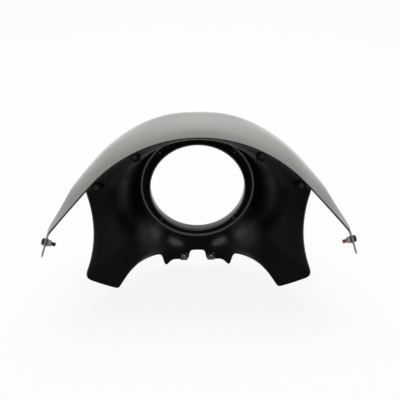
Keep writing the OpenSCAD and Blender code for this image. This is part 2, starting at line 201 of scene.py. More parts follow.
class CowlColours(PropertyGroup):
    brow: colour_property("Brow", "Graphite paint of the brow", (0.112, 0.106, 0.086))
    body: colour_property("Body", "Moulded body", (0.0014, 0.0014, 0.0016))
    ring: colour_property("Lamp ring", "Charcoal lamp ring", (0.007, 0.007, 0.008))
    black_metal: colour_property("Black metal", "Blackened bolts and screws", (0.010, 0.010, 0.010))
    lacquer: colour_property("Thread lacquer", "Lacquer on the end of one arm bolt", (0.22, 0.055, 0.018))
    zinc: colour_property("Zinc", "Plated nuts and washers", (0.24, 0.24, 0.235))
    spring_steel: colour_property("Spring steel", "Darkened clips on the lips", (0.020, 0.020, 0.021))
    # painted highlight: the lighter colour of the soft highlights painted into the body beside the lamp ring
    # and on the chin
    painted_highlight: colour_property("Painted highlight", "Dull bloom in the hollows of the body", (0.080, 0.082, 0.078))
    # painted highlight: the lighter colour given to all the body's edges
    edge: colour_property("Edge highlight", "Painted highlight along the body's edges", (0.018, 0.018, 0.018))
    floor: colour_property("Floor", "Pale studio floor", (0.90, 0.895, 0.875))
    room: colour_property("Room", "Soft light of the room", (0.32, 0.32, 0.33))


def mix(a, b, t):
    return a + (b - a) * t


def ray(angle):
    """A step of 1 outwards from the lamp's axis, with its angle measured from +X towards +Z."""
    return Vector((math.cos(angle), 0, math.sin(angle)))


def clock(angle):
    """A step of 1 in the front view, as x and z, with its angle measured from +Z towards +X."""
    return Vector((math.sin(angle), math.cos(angle)))


def downhill(angle):
    """A step of 1 along a slope that falls by an angle, as x and z in the front view."""
    return Vector((math.cos(angle), -math.sin(angle)))


def section(s):
    """Place on the brow's section, seen from the front, at a length s from the middle."""
    if s < ROOF_LEN:
        return Vector((0, ROOF_Z)) + ROOF_R * clock(s / ROOF_R)
    start = Vector((0, ROOF_Z)) + ROOF_R * clock(FLANK_A)
    if s < BEND_S:
        return start + downhill(FLANK_A) * (s - ROOF_LEN)
    centre = start + downhill(FLANK_A) * FLANK_LEN - ARM_BEND_R * clock(FLANK_A)
    if s < ARM_S:
        return centre + ARM_BEND_R * clock(FLANK_A + (s - BEND_S) / ARM_BEND_R)
    return centre + ARM_BEND_R * clock(ARM_A) + downhill(ARM_A) * (s - ARM_S)


def rim_back(u):
    """Distance of the brow's rear rim behind the seat."""
    return RIM_Y + RIM_SWEEP * abs(u) ** SWEEP_POWER


def brow_place(u, v):
    """Place on the brow's outside: u runs from tip to tip, v from the rear rim to the nose."""
    g = 1 - (1 - v) ** ROW_POWER
    s = abs(u) * (NOSE_LEN + (ARM_REACH - NOSE_LEN) * (1 - g) ** EDGE_POWER)
    y = mix(rim_back(u), -NOSE_Y, g)
    crest = math.exp(-(u / CREST_SHARE) ** 2)
    fall_y = mix(FALL_Y, CREST_FALL_Y, crest) + FLANK_FALL * u ** FLANK_POWER
    power = mix(FALL_POWER, CREST_POWER, crest)
    t = max(0.0, (fall_y - y) / (fall_y + NOSE_Y))
    w = 1 - max(0.0, 1 - t ** power) ** (1 / power)
    q = s / NOSE_LEN
    a = math.radians(90 * q + (NOSE_A - 90) * q ** NOSE_POWER)
    p = section(s) * (1 - w) + NOSE_R * clock(a) * w
    return Vector((math.copysign(p.x, u) if u else 0.0, y, p.y)) * MM


def brow_crowning(u, y):
    """Height of the crowned roof over the brow's plain form."""
    along = math.sin(math.pi * min(1.0, max(0.0, (rim_back(u) - y) / (rim_back(u) + NOSE_Y))))
    return CROWNING * along * max(0.0, 1 - (u / CROWNED_SHARE) ** 2) ** 2


def edge_y(x):
    """Distance of the body's upper edge behind the seat."""
    return mix(CROWN_Y, SHOULDER_Y, (x / SHOULDER_X) ** 2)


def crown_z(x):
    """Height of the body's upper edge, which follows the inside of the brow with a gap."""
    under = ROOF_Z + math.sqrt((ROOF_R - BROW_WALL) ** 2 - x * x)
    return under - SHOULDER_GAP - CROWN_GAP * (1 - (x / SHOULDER_X) ** CROWN_POWER)


def chin_places():
    """Places on the chin from the middle of the notch over the lip to the side of the toe."""
    lip_x = NOTCH_X + NOTCH_ROUND + LIP_ROUND
    steps = [k / TOE_STEPS for k in range(TOE_STEPS + 1)]
    toe = [(mix(CHIN_X - TOE_W, CHIN_X - TOE_FLAT, t), 0, mix(LIP_Z, FOOT_Z, t ** TOE_POWER)) for t in steps]
    return [(0, 0, NOTCH_Z), (NOTCH_X, 0, NOTCH_Z), (NOTCH_X + NOTCH_ROUND, 0, NOTCH_Z - NOTCH_ROUND),
            (lip_x - LIP_ROUND / 2, 0, LIP_Z + 0.75 * LIP_ROUND), (lip_x, 0, LIP_Z),
            (LIP_HOLE_X + CLIP_W / 2 + CLIP_SIDE, 0, LIP_Z), *toe, (CHIN_X, 0, FOOT_Z),
            (CHIN_X + TOE_EDGE / 2, 0, FOOT_Z + TOE_RISE)]


def side_places():
    """Places along the fork arch, under the wing and up its outer edge."""
    centre = FOOT_Z + ARCH_H - ARCH_R
    foot_x = ARCH_X + math.sqrt(ARCH_R ** 2 - (ARCH_R - ARCH_H) ** 2)
    first = math.pi - math.acos((ARCH_X - CHIN_X - TOE_EDGE) / ARCH_R)
    last = math.atan2(FOOT_Z - centre, foot_x - ARCH_X)
    places = []
    for k in range(ARCH_STEPS + 1):
        a = mix(first, last, k / ARCH_STEPS)
        x = ARCH_X + ARCH_R * math.cos(a)
        places.append((x, FOOT_Y * (x - CHIN_X) / (foot_x - CHIN_X), centre + ARCH_R * math.sin(a)))
    foot = Vector((foot_x, FOOT_Y, FOOT_Z))
    corner = Vector((WING_X - CORNER_SIDE, WING_Y - CORNER_FRONT, WING_Z - CORNER_DROP))
    places += [foot.lerp(corner, k / WING_STEPS) for k in range(1, WING_STEPS + 1)]
    low = Vector((WING_X, WING_Y, WING_Z + CORNER_SIDE))
    high = Vector((SHOULDER_X, SHOULDER_Y, crown_z(SHOULDER_X)))
    for t in (k / EDGE_STEPS for k in range(EDGE_STEPS)):
        places.append(low.lerp(high, t) - Vector((4 * WAIST * t * (1 - t), 0, 0)))
    return places


def crown_places():
    """Places along the upper edge from the wing's upper corner to the middle."""
    across = [SHOULDER_X * math.cos(math.radians(90 * k / CROWN_STEPS)) for k in range(CROWN_STEPS + 1)]
    return [(x, edge_y(x), crown_z(x)) for x in across]


def body_outline():
    """The body's outline round the lamp: each place, its angle, the mean of its neighbours, and how
    squarely the edge crosses the ray from the lamp."""
    chin = chin_places()
    places = [Vector(p) for p in (*chin, *side_places(), *crown_places())]
    angles = [math.atan2(p.z, p.x) for p in places]
    arch = len(chin)
    a, b = angles[arch], angles[arch + ARCH_STEPS]
    for k in range(ARCH_STEPS + 1):
        angles[arch + k] = mix(a, b, k / ARCH_STEPS)
    half = list(zip(places, angles))
    whole = half + [(Vector((-p.x, p.y, p.z)), math.pi - g) for p, g in half[-2:0:-1]]
    count = len(whole)
    span = range(-SOFT_SPAN, SOFT_SPAN + 1)
    soft = [sum((whole[(i + k) % count][0] for k in span), Vector()) / len(span) for i in range(count)]
    crossing = []
    for i, (place, angle) in enumerate(whole):
        along = whole[(i + 1) % count][0] - whole[i - 1][0]
        spoke = place - ray(angle) * SEAT_R
        crossing.append(abs(along.xz.normalized().cross(spoke.xz.normalized())))
    span = range(-SQUARE_SPAN, SQUARE_SPAN + 1)
    square = [min(1.0, sum(crossing[(i + k) % count] for k in span) / len(span)) for i in range(count)]
    return [(*whole[i], soft[i], square[i]) for i in range(count)]


def roll(x, z):
    """Height of the two rolls in the chin, one on each side of the notch, under the lamp ring."""
    if z > -SEAT_R or z < NOTCH_Z:
        return 0.0
    return (ROLL_H * math.sin(math.pi * (z + SEAT_R) / (NOTCH_Z + SEAT_R))
            * math.exp(-((abs(x) - ROLL_X) / ROLL_W) ** 2))


def rise(t):
    """Share of the way back to the outline that the body has gone at a share t of the way out."""
    return STEEP_SHARE * (1 - (1 - t) ** STEEP_POWER) + (1 - STEEP_SHARE) * t


def body_place(j, place, angle, mean, square):
    """Place on the body's rear face in ring j of a column: flat at the seat, then steep, then spreading, and
    flared in the ring past the last step."""
    seat = ray(angle) * SEAT_R
    if j > BODY_STEPS:
        t, flare = 1.0, FLARE_H * min(1.0, place.y / FLARE_Y) * square ** 2
    else:
        edge = 1 - FLARE_W / max(square, LEAST_SQUARE) / math.hypot(place.x - seat.x, place.z - seat.z)
        t, flare = edge * (j / BODY_STEPS) ** STEP_POWER, 0.0
    to = mean.lerp(place, t ** SOFT_POWER)
    x, z = mix(seat.x, to.x, t), mix(seat.z, to.z, t)
    return Vector((x, to.y * rise(t) + flare + roll(x, z), z)) * MM


def add(tree, kind, inputs=(), **settings):
    """A node of a kind, with its settings and with its inputs set or linked by name or number."""
    node = tree.nodes.new(kind)
    for key, value in settings.items():
        setattr(node, key, value)
    for key, value in dict(inputs).items():
        if isinstance(value, bpy.types.NodeSocket):
            tree.links.new(value, node.inputs[key])
        else:
            node.inputs[key].default_value = value
    return node


def worked(tree, operation, *values):
    """The result of a sum, product or other operation on values and sockets."""
    return add(tree, "ShaderNodeMath", dict(enumerate(values)), operation=operation).outputs["Value"]


def span_of(tree, value, start, end, low, high, kind="SMOOTHSTEP"):
    """A value taken from one span to another."""
    return add(tree, "ShaderNodeMapRange", {"Value": value, "From Min": start, "From Max": end, "To Min": low,
                                            "To Max": high}, interpolation_type=kind).outputs["Result"]


def object_place(tree):
    return add(tree, "ShaderNodeTexCoord").outputs["Object"]


def stretched(tree, place, scale):
    """The place stretched by a scale along each axis."""
    return add(tree, "ShaderNodeMapping", {"Vector": place, "Scale": scale}).outputs["Vector"]


def speckle(tree, place, scale, low, high, detail=4.0):
    """Soft noise over the surface, mapped to a range."""
    noise = add(tree, "ShaderNodeTexNoise", {"Vector": place, "Scale": scale, "Detail": detail})
    return span_of(tree, noise.outputs["Fac"], 0.3, 0.7, low, high, "LINEAR")


def tinted(tree, colour, fac, shade):
    """A colour that drifts towards a shade of itself by fac."""
    blend = add(tree, "ShaderNodeMix", data_type="RGBA")
    tree.links.new(fac, blend.inputs[0])
    blend.inputs[6].default_value = (*colour, 1)
    blend.inputs[7].default_value = (*[c * shade for c in colour], 1)
    return blend.outputs[2]


def bump(tree, height, strength, distance, normal=None):
    """A normal that follows a height, on top of another normal if one is given."""
    inputs = {"Height": height, "Strength": strength, "Distance": distance}
    if normal:
        inputs["Normal"] = normal
    return add(tree, "ShaderNodeBump", inputs).outputs["Normal"]


def finish(name, values):
    """A new material with plain values on its shader. Returns it, its node tree, its shader and the place."""
    made = bpy.data.materials.new(name)
    made.use_nodes = True
    shader = made.node_tree.nodes["Principled BSDF"]
    for key, value in values.items():
        shader.inputs[key].default_value = value
    return made, made.node_tree, shader, object_place(made.node_tree)


def dress(tree, shader, **sockets):
    """Links sockets to the shader's colour, roughness, normal or coat_normal."""
    names = {"colour": "Base Color", "roughness": "Roughness", "normal": "Normal",
             "coat_normal": "Coat Normal"}
    for key, socket in sockets.items():
        tree.links.new(socket, shader.inputs[names[key]])


def crowned_normal(tree, place):
    """The brow's slight crown: its skin leans back at the rim and forward towards the nose."""
    parts = add(tree, "ShaderNodeSeparateXYZ", {"Vector": place})
    side = worked(tree, "MULTIPLY", parts.outputs["X"], parts.outputs["X"])
    rear = worked(tree, "MULTIPLY_ADD", side, RIM_CURVE, RIM_Y * MM)
    inward = worked(tree, "SUBTRACT", rear, parts.outputs["Y"])
    lean = add(tree, "ShaderNodeMix", {0: span_of(tree, side, *FLANK_PART, "LINEAR"),
                                       2: span_of(tree, inward, *ROOF_LEAN),
                                       3: span_of(tree, inward, *FLANK_LEAN)}, data_type="FLOAT").outputs[0]
    held = worked(tree, "MULTIPLY", lean, span_of(tree, parts.outputs["Y"], *NOSE_FADE))
    held = worked(tree, "MULTIPLY", held, span_of(tree, side, *TIP_FADE))
    tilt = add(tree, "ShaderNodeCombineXYZ", {"Y": held}).outputs["Vector"]
    normal = add(tree, "ShaderNodeNewGeometry").outputs["Normal"]
    leaned = add(tree, "ShaderNodeVectorMath", {0: normal, 1: tilt}, operation="ADD").outputs["Vector"]
    return add(tree, "ShaderNodeVectorMath", {0: leaned}, operation="NORMALIZE").outputs["Vector"]


def graphite_gloss(colour):
    """Graphite paint under a deep clear coat, with fine flakes and a trace of orange peel."""
    made, tree, shader, place = finish("graphite_gloss", {
        "Specular IOR Level": 0.0, "Coat Weight": 1.0, "Coat Roughness": 0.045, "Coat IOR": 2.0})
    flakes = add(tree, "ShaderNodeTexVoronoi", {"Vector": place, "Scale": 2600.0})
    flake_shade = span_of(tree, flakes.outputs["Distance"], 0.0, 0.9, 0.0, 0.35, "LINEAR")
    drift = worked(tree, "ADD", flake_shade, speckle(tree, place, 7.0, 0.0, 0.4))
    crown = crowned_normal(tree, place)
    peel = speckle(tree, place, 240.0, 0.0, 1.0, detail=1.0)
    dress(tree, shader, colour=tinted(tree, colour, drift, 0.78),
          roughness=speckle(tree, place, 30.0, 0.30, 0.42), normal=crown,
          coat_normal=bump(tree, peel, 0.05, 0.0006, crown))
    return made


def black_gloss(colour):
    """The unpainted inside of the brow: black plastic with a smooth skin and faint flow marks."""
    made, tree, shader, place = finish("black_gloss", {"Specular IOR Level": 0.15})
    marks = speckle(tree, stretched(tree, place, (18.0, 60.0, 18.0)), 1.0, 0.0, 1.0)
    dress(tree, shader, colour=tinted(tree, colour, marks, 1.6),
          roughness=speckle(tree, place, 45.0, 0.16, 0.30),
          normal=bump(tree, speckle(tree, place, 420.0, 0.0, 1.0), 0.05, 0.0004))
    return made


def near_places(tree, place, spots):
    """Soft patches that fade with the distance from places, the same on both sides of the cowl."""
    parts = add(tree, "ShaderNodeSeparateXYZ", {"Vector": place})
    folded = add(tree, "ShaderNodeCombineXYZ", {"X": worked(tree, "ABSOLUTE", parts.outputs["X"]),
                                                "Y": parts.outputs["Y"], "Z": parts.outputs["Z"]})
    total = 0.0
    for spot, reach, height in spots:
        gap = add(tree, "ShaderNodeVectorMath", {0: folded.outputs["Vector"], 1: spot}, operation="DISTANCE")
        square = worked(tree, "POWER", worked(tree, "DIVIDE", gap.outputs["Value"], reach), 2.0)
        fall = worked(tree, "POWER", math.exp(-1), square)
        total = worked(tree, "ADD", total, worked(tree, "MULTIPLY", fall, height))
    return total


def satin_black(colour, highlight):
    """The body's fine-grained satin black, with soft painted highlights mixed into its colour beside the lamp
    ring and on the chin.
    """
    made, tree, shader, place = finish("satin_black", {
        "Specular IOR Level": 0.02, "Coat Weight": 0.035, "Coat Roughness": 0.2})
    # painted highlights: lighter patches mixed into the body's colour beside the lamp ring and on the chin,
    # in place of highlights from the lamps
    patches = near_places(tree, place, PAINTED_HIGHLIGHT_SPOTS)
    painted_highlight_mask = worked(tree, "MULTIPLY", patches, speckle(tree, place, 60.0, 0.6, 1.15, detail=8.0))
    plain = tinted(tree, colour, speckle(tree, place, 22.0, 0.0, 1.0), 1.9)
    painted_highlight_mix = add(tree, "ShaderNodeMix", data_type="RGBA")
    tree.links.new(painted_highlight_mask, painted_highlight_mix.inputs[0])
    tree.links.new(plain, painted_highlight_mix.inputs[6])
    painted_highlight_mix.inputs[7].default_value = (*highlight, 1)
    waves = bump(tree, speckle(tree, place, 34.0, 0.0, 1.0, detail=1.0), 0.12, 0.0015)
    grain = speckle(tree, place, 1500.0, 0.0, 1.0, detail=2.0)
    dress(tree, shader, colour=painted_highlight_mix.outputs[2], roughness=speckle(tree, place, 16.0, 0.30, 0.46, detail=6.0),
          normal=bump(tree, grain, 0.10, 0.0002, waves), coat_normal=waves)
    return made


def charcoal_satin(colour):
    """The lamp ring's charcoal plastic with the fine turned lines of its mould."""
    made, tree, shader, place = finish("charcoal_satin", {
        "Specular IOR Level": 0.3, "Coat Weight": 0.45, "Coat Roughness": 0.14, "Coat IOR": 1.5})
    flat = stretched(tree, place, (1.0, 0.0, 1.0))
    lines = add(tree, "ShaderNodeTexWave", {"Vector": flat, "Scale": 420.0, "Distortion": 0.4},
                wave_type="RINGS", rings_direction="SPHERICAL")
    dress(tree, shader, colour=tinted(tree, colour, speckle(tree, place, 40.0, 0.0, 1.0), 1.7),
          roughness=speckle(tree, place, 60.0, 0.30, 0.42),
          normal=bump(tree, lines.outputs["Fac"], 0.05, 0.0002))
    return made


def grained(name, colour, shade, drift, rough, grain, specular, metallic=0.0):
    """A small part's finish. Each kind of noise is given by its scale and by what follows it: drift by its
    lowest value and detail, rough by its range, and grain by its strength and depth."""
    made, tree, shader, place = finish(name, {"Specular IOR Level": specular, "Metallic": metallic})
    scale, low, detail = drift
    dress(tree, shader, colour=tinted(tree, colour, speckle(tree, place, scale, low, 1.0, detail), shade),
          roughness=speckle(tree, place, *rough),
          normal=bump(tree, speckle(tree, place, grain[0], 0.0, 1.0), *grain[1:]))
    return made


def painted_edge_highlight(colour):
    """The body's edges, lighter than the rest of the body all along: a painted highlight where the edges
    would catch the light.
    """
    return grained("painted_edge_highlight", colour, 0.35, (90.0, 0.0, 6.0), (200.0, 0.25, 0.5),
                   (900.0, 0.1, 0.0002), 0.4)


def matt_black(colour):
    """The ring's flange, left as moulded: a dry, fine-grained black."""
    return grained("matt_black", colour, 1.6, (120.0, 0.0, 4.0), (300.0, 0.60, 0.75),
                   (1900.0, 0.15, 0.0002), 0.05)


def thread_lacquer(colour):
    """Red-brown locking lacquer, dried unevenly over a thread."""
    return grained("thread_lacquer", colour, 0.3, (500.0, 0.0, 6.0), (700.0, 0.35, 0.6),
                   (1200.0, 0.3, 0.0002), 0.5)


def blackened(name, colour, worn, metallic):
    """Darkened steel, rubbed brighter in patches by worn."""
    return grained(name, colour, worn, (260.0, -0.5, 4.0), (400.0, 0.28, 0.45),
                   (1800.0, 0.15, 0.0001), 0.15, metallic)


def zinc_plate(colour):
    """Plated steel with fine random scratches and clouded patches."""
    made, tree, shader, place = finish("zinc_plate", {"Metallic": 1.0})
    scratches = speckle(tree, stretched(tree, place, (900.0, 5200.0, 2400.0)), 1.0, 0.0, 1.0)
    dress(tree, shader, colour=tinted(tree, colour, speckle(tree, place, 300.0, 0.0, 1.0), 0.72),
          roughness=speckle(tree, place, 520.0, 0.22, 0.40), normal=bump(tree, scratches, 0.18, 0.00008))
    return made


def finish_named(name):
    """The finish of a name, made on first use from the panel's colours."""
    if name in bpy.data.materials:
        return bpy.data.materials[name]
    colours = bpy.context.scene.cowl_colours
    makers = {
        "graphite_gloss": lambda: graphite_gloss(colours.brow),
        "black_gloss": lambda: black_gloss(colours.body),
        "satin_black": lambda: satin_black(colours.body, colours.painted_highlight),
        "painted_edge_highlight": lambda: painted_edge_highlight(colours.edge),
        "charcoal_satin": lambda: charcoal_satin(colours.ring),
        "matt_black": lambda: matt_black(colours.body),
        "black_oxide": lambda: blackened("black_oxide", colours.black_metal, 2.2, 0.0),
        "thread_lacquer": lambda: thread_lacquer(colours.lacquer),
        "zinc_plate": lambda: zinc_plate(colours.zinc),
        "spring_steel": lambda: blackened("spring_steel", colours.spring_steel, 9.0, 0.7),
    }
    return makers[name]()


def modified(mesh, kind, **settings):
    """The mesh as one modifier leaves it."""
    holder = bpy.data.objects.new("holder", mesh)
    bpy.context.scene.collection.objects.link(holder)
    modifier = holder.modifiers.new(kind, kind)
    for key, value in settings.items():
        setattr(modifier, key, value)
    bpy.context.view_layer.update()
    made = bpy.data.meshes.new_from_object(holder.evaluated_get(bpy.context.evaluated_depsgraph_get()))
    bpy.data.objects.remove(holder)
    return made


def mesh_of(bm, name):
    """A mesh of a bmesh, which is freed."""
    mesh = bpy.data.meshes.new(name)
    bm.to_mesh(mesh)
    bm.free()
    return mesh


def piece(name, bm, slot, *finishes, node, smooth=40.0):
    """Makes an object of a bmesh, smooth up to an angle, that rides on the part in place of a CAD node."""
    mesh = mesh_of(bm, name)
    for look in finishes:
        mesh.materials.append(finish_named(look))
    mesh.shade_smooth()
    mesh.set_sharp_from_angle(angle=math.radians(smooth))
    made = bpy.data.objects.new(name, mesh)
    bpy.context.scene.collection.objects.link(made)
    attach(made, "root")
    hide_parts(node)


def shift(x, y, z):
    return Matrix.Translation((x, y, z))


def turn(degrees, axis):
    return Matrix.Rotation(math.radians(degrees), 4, axis)


def round_edges(bm, edges, offset, segments=3):
    """Rounds edges. Returns what the bevel made."""
    return bmesh.ops.bevel(bm, geom=edges, offset=offset, segments=segments, profile=0.5, affect="EDGES",
                           material=-1)


def edges_among(bm, verts):
    return [e for e in bm.edges if e.verts[0] in verts and e.verts[1] in verts]


def add_rod(bm, matrix, radius, low, high, round_off, segments=48, index=0):
    """A round rod along Z of a matrix, from low to high, with rounded ends."""
    made = bmesh.ops.create_cone(bm, cap_ends=True, segments=segments, radius1=radius, radius2=radius,
                                 depth=high - low, matrix=matrix @ shift(0, 0, (low + high) / 2))
    verts = set(made["verts"])
    ends = [e for e in edges_among(bm, verts) if any(len(f.verts) > 4 for f in e.link_faces)]
    bevelled = round_edges(bm, ends, round_off)
    for f in {f for v in verts | set(bevelled["verts"]) if v.is_valid for f in v.link_faces}:
        f.material_index = index


def rim_edges(bm, rims):
    """Edges between the rim faces of a shell and its two skins."""
    return [e for e in bm.edges if len(e.link_faces) == 2 and sum(f in rims for f in e.link_faces) == 1]


def face_along(bm, face, axis):
    """Turns a sheet over where a face of it points against an axis."""
    bm.normal_update()
    if face.normal.dot(axis) < 0:
        bmesh.ops.reverse_faces(bm, faces=bm.faces)
    bm.normal_update()


def thicken(bm, wall):
    """Gives an open sheet its wall on the side away from its normals. Returns its outer and rim faces."""
    outer, kept = set(bm.faces), set(bm.verts)
    bmesh.ops.solidify(bm, geom=bm.faces[:], thickness=wall)
    rims = {f for f in bm.faces if f not in outer and any(v in kept for v in f.verts)}
    bm.normal_update()
    return outer, rims


def cut_round_holes(bm, places, radius):
    """Cuts round holes along Y through a closed mesh."""
    drill = bmesh.new()
    for place in places:
        bmesh.ops.create_cone(drill, cap_ends=True, segments=48, radius1=radius, radius2=radius,
                              depth=DRILL_LEN * MM, matrix=Matrix.Translation(place) @ turn(90, "X"))
    whole = bpy.data.meshes.new("drilled")
    bm.to_mesh(whole)
    cutter = bpy.data.objects.new("drill", mesh_of(drill, "drill"))
    bpy.context.scene.collection.objects.link(cutter)
    cut = modified(whole, "BOOLEAN", operation="DIFFERENCE", solver="EXACT", object=cutter)
    bpy.data.objects.remove(cutter)
    bm.clear()
    bm.from_mesh(cut)


def screw_frames():
    """Matrices of the screws between body and brow: Z runs to the rear along each screw."""
    for side in (-1, 1):
        for a in SCREW_ANGLES:
            x = LUG_RING * math.sin(a)
            place = Vector((side * x, edge_y(x) - PAD_FRONT, ROOF_Z + LUG_RING * math.cos(a))) * MM
            yield Matrix.Translation(place) @ Matrix.Rotation(side * a, 4, "Y") @ turn(-90, "X")


def bolt_frames():
    """Matrices of the arm bolts: Z runs outwards along each bolt from the outside of its arm."""
    rear = rim_back(BOLT_S / ARM_REACH)
    share = ((BOLT_S - NOSE_LEN) / (ARM_REACH - NOSE_LEN)) ** (1 / EDGE_POWER)
    front = mix(-NOSE_Y, RIM_Y + RIM_SWEEP, share)
    p = section(BOLT_S)
    for side in (1, -1):
        place = Vector((side * p.x, (rear + front) / 2, p.y)) * MM
        yield Matrix.Translation(place) @ Matrix.Rotation(side * ARM_A, 4, "Y")


class COWL_OT_brow(Operator):
    """Shape the brow with its rounded rim, screw lugs and bolt seats"""
    bl_idname = "cowl.brow"
    bl_label = "Brow"

    def execute(self, context):
        sizes = context.scene.cowl_sizes
        bm = bmesh.new()
        bmesh.ops.create_grid(bm, x_segments=sizes.brow_columns, y_segments=sizes.brow_rows, size=1.0)
        across = {v: v.co.x for v in bm.verts}
        for v in bm.verts:
            v.co = brow_place(v.co.x, (v.co.y + 1) / 2)
        bm.normal_update()
        face_along(bm, max(bm.faces, key=lambda f: f.calc_center_median().z), Vector((0, 0, 1)))
        for v, lift in [(v, brow_crowning(u, v.co.y / MM) * MM * v.normal) for v, u in across.items()]:
            v.co += lift
        outer, rims = thicken(bm, sizes.brow_wall)
        for f in bm.faces:
            painted_from = TIP_X if f in rims else PAINTED_X
            painted = f in outer or abs(f.calc_center_median().x) > painted_from * MM
            f.material_index = int(not painted)
        round_edges(bm, rim_edges(bm, rims), sizes.brow_round)
        for matrix in screw_frames():
            add_rod(bm, matrix, LUG_R * MM, -LUG_LEN * MM, -LUG_GAP * MM, LUG_ROUND * MM, index=1)
        seat_r = (WASHER_R + SEAT_EDGE) * MM
        for matrix in bolt_frames():
            add_rod(bm, matrix, seat_r, -SEAT_SINK * MM, SEAT_RISE * MM, SEAT_ROUND * MM)
            add_rod(bm, matrix, seat_r, -(BROW_WALL + SEAT_RISE) * MM, -(BROW_WALL - SEAT_SINK) * MM,
                    INNER_SEAT_ROUND * MM, index=1)
        piece("brow_shell", bm, "brow", "graphite_gloss", "black_gloss", node="brow", smooth=50.0)
        return {"FINISHED"}


class COWL_OT_body(Operator):
    """Shape the body from its outline, with its flared rim and screw pads"""
    bl_idname = "cowl.body"
    bl_label = "Body"

    def execute(self, context):
        sizes = context.scene.cowl_sizes
        outline = body_outline()
        bm = bmesh.new()
        last = bmesh.ops.create_circle(bm, cap_ends=False, segments=len(outline), radius=HOLE_R * MM)["verts"]
        for v, (_, angle, _, _) in zip(last, outline):
            v.co = ray(angle) * HOLE_R * MM
        edges = list(bm.edges)
        for j in range(BODY_STEPS + 2):
            out = bmesh.ops.extrude_edge_only(bm, edges=edges)["geom"]
            fresh = {v for v in out if isinstance(v, bmesh.types.BMVert)}
            edges = [e for e in out if isinstance(e, bmesh.types.BMEdge)]
            last = [next(e.other_vert(v) for e in v.link_edges if e.other_vert(v) in fresh) for v in last]
            for v, column in zip(last, outline):
                v.co = body_place(j, *column)
        bm.normal_update()
        face_along(bm, min(bm.faces, key=lambda f: f.calc_center_median().length), Vector((0, 1, 0)))
        cage = mesh_of(bm, "body_cage")
        bm = bmesh.new()
        bm.from_mesh(modified(cage, "SUBSURF", levels=2, render_levels=2))
        _, rims = thicken(bm, sizes.body_wall)
        # the rim faces take the painted edge highlight
        for f in rims:
            f.material_index = 1
        round_edges(bm, rim_edges(bm, rims), sizes.body_round)
        lip_holes = [Vector((side * LIP_HOLE_X, 0, LIP_HOLE_Z)) * MM for side in (-1, 1)]
        cut_round_holes(bm, lip_holes, sizes.lip_hole_radius)
        for matrix in screw_frames():
            add_rod(bm, matrix, PAD_R * MM, 0.0, PAD_LEN * MM, LUG_ROUND * MM)
            web = shift(0, PAD_NECK / 2 * MM, WEB_LEN / 2 * MM) @ Matrix.Diagonal(
                (WEB_W * MM, PAD_NECK * MM, WEB_LEN * MM, 1))
            block = bmesh.ops.create_cube(bm, size=1.0, matrix=matrix @ web)["verts"]
            round_edges(bm, edges_among(bm, block), LUG_ROUND * MM, segments=2)
        piece("body_shell", bm, "body", "satin_black", "painted_edge_highlight", node="body", smooth=50.0)
        return {"FINISHED"}


class COWL_OT_lamp_ring(Operator):
    """Spin the lamp ring from its rounded profile"""
    bl_idname = "cowl.lamp_ring"
    bl_label = "Lamp ring"

    def execute(self, context):
        inner = context.scene.cowl_sizes.lamp_radius / MM
        outer = inner + SLEEVE_WALL
        bead = [(RING_R + BEAD_W * (math.cos(a) - 1) / 2, FLANGE_T + BEAD_H * math.sin(a))
                for a in (math.pi * k / BEAD_STEPS for k in range(BEAD_STEPS + 1))]
        front = [(inner, -SLEEVE_LEN), (outer, -SLEEVE_LEN), (outer, 0), (RING_R, 0)]
        back = [(COLLAR_R, FLANGE_T), (outer, COLLAR_H - COLLAR_EDGE), (outer - COLLAR_EDGE, COLLAR_H),
                (inner, COLLAR_H)]
        bm = bmesh.new()
        verts = [bm.verts.new((r * MM, y * MM, 0)) for r, y in front + bead + back]
        bm.faces.new(verts)
        bmesh.ops.bevel(bm, geom=verts[:4] + verts[-4:], offset=RING_ROUND * MM, segments=3, profile=0.5,
                        affect="VERTICES", material=-1)
        edges = list(bm.edges)
        bmesh.ops.delete(bm, geom=list(bm.faces), context="FACES_ONLY")
        bmesh.ops.spin(bm, geom=edges + list(bm.verts), cent=(0, 0, 0), axis=(0, 1, 0), angle=2 * math.pi,
                       steps=RING_STEPS, use_merge=True)
        bmesh.ops.remove_doubles(bm, verts=bm.verts, dist=0.1 * HAIR)
        bmesh.ops.recalc_face_normals(bm, faces=bm.faces)
        for f in bm.faces:
            reach = f.calc_center_median().xz.length / MM
            f.material_index = int(COLLAR_R < reach < RING_R - BEAD_W)
        piece("lamp_ring_spun", bm, "lamp_ring", "charcoal_satin", "matt_black", node="lamp_ring",
              smooth=35.0)
        return {"FINISHED"}


